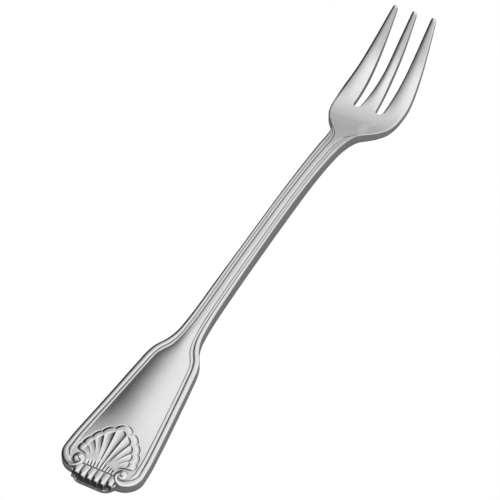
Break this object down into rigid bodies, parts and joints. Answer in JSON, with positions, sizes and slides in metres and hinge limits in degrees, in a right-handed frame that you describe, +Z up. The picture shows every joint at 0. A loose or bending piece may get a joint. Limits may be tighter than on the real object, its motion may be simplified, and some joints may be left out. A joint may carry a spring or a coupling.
{
  "type": "oyster fork",
  "caption": "Small table fork for oysters and seafood, with short tines, an arched stem and a threaded fiddle handle that ends in a shell between scrolls.",
  "frame": {"origin": "on the table, under the middle of the fork's length", "axes": "+Y from the end of the handle to the tips of the tines, +Z up with the tines' hollow upwards, +X to the right seen from the end of the handle"},
  "size_m": [0.0188, 0.151, 0.0129],
  "materials": {
    "polished_steel": "mirror polished stainless steel"
  },
  "bodies": {
    "root": {"handle_end": "polished_steel", "handle_plate": "polished_steel", "stem": "polished_steel", "neck": "polished_steel", "head": "polished_steel", "left_tine": "polished_steel", "middle_tine": "polished_steel", "right_tine": "polished_steel", "panel": "polished_steel", "shell_ground": "polished_steel", "left_border": "polished_steel", "right_border": "polished_steel", "left_bead": "polished_steel", "right_bead": "polished_steel", "left_scroll": "polished_steel", "right_scroll": "polished_steel", "shell": "polished_steel", "hinge": "polished_steel", "gadroon_1": "polished_steel", "gadroon_2": "polished_steel", "gadroon_3": "polished_steel", "gadroon_4": "polished_steel", "gadroon_5": "polished_steel", "gadroon_6": "polished_steel"}
  },
  "joints": []
}
